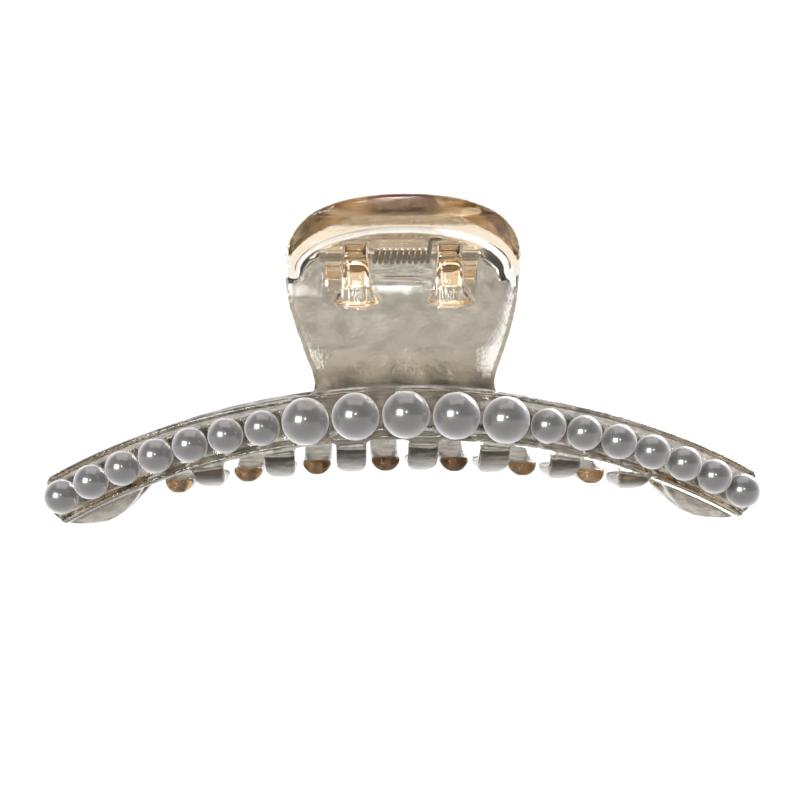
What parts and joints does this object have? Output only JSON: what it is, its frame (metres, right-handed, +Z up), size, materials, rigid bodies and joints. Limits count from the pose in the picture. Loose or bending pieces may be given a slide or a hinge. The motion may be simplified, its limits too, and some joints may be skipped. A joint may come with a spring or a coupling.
{
  "type": "hair claw clip",
  "caption": "Arched hair claw clip in clear tinted plastic, with a row of imitation pearls on each jaw, spring-closed on a hinge pin between two paddle handles.",
  "frame": {"origin": "centre of the bounding box in plan, on the plane that the end lobes rest on", "axes": "+X along the hinge and the clip's length, -Y towards the front jaw, +Z up towards the handles"},
  "size_m": [0.1254, 0.053, 0.0559],
  "materials": {
    "clear_plastic": "clear, champagne tinted, polished",
    "pearl": "pearlescent coat",
    "pin_steel": "plain",
    "spring_wire": "brass-toned wire"
  },
  "bodies": {
    "rear": {"rear_jaw": "clear_plastic", "hinge_pin": "pin_steel", "spring_coil": "spring_wire", "rear_pearl_1": "pearl", "rear_pearl_2": "pearl", "rear_pearl_3": "pearl", "rear_pearl_4": "pearl", "rear_pearl_5": "pearl", "rear_pearl_6": "pearl", "rear_pearl_7": "pearl", "rear_pearl_8": "pearl", "rear_pearl_9": "pearl", "rear_pearl_10": "pearl", "rear_pearl_11": "pearl", "rear_pearl_12": "pearl", "rear_pearl_13": "pearl", "rear_pearl_14": "pearl", "rear_pearl_15": "pearl", "rear_pearl_16": "pearl", "rear_pearl_17": "pearl", "rear_pearl_18": "pearl", "rear_pearl_19": "pearl"},
    "front": {"front_jaw": "clear_plastic", "spring_leg": "spring_wire", "front_pearl_1": "pearl", "front_pearl_2": "pearl", "front_pearl_3": "pearl", "front_pearl_4": "pearl", "front_pearl_5": "pearl", "front_pearl_6": "pearl", "front_pearl_7": "pearl", "front_pearl_8": "pearl", "front_pearl_9": "pearl", "front_pearl_10": "pearl", "front_pearl_11": "pearl", "front_pearl_12": "pearl", "front_pearl_13": "pearl", "front_pearl_14": "pearl", "front_pearl_15": "pearl", "front_pearl_16": "pearl", "front_pearl_17": "pearl", "front_pearl_18": "pearl", "front_pearl_19": "pearl"}
  },
  "joints": [
    {"name": "jaw_hinge", "type": "hinge", "parent": "rear", "child": "front", "pos_m": [0, 0, 0.0475], "axis": [-1, 0, 0], "range_deg": [0, 45], "stiffness_Nm_per_rad": 0.08, "springref_deg": -51.57}
  ]
}
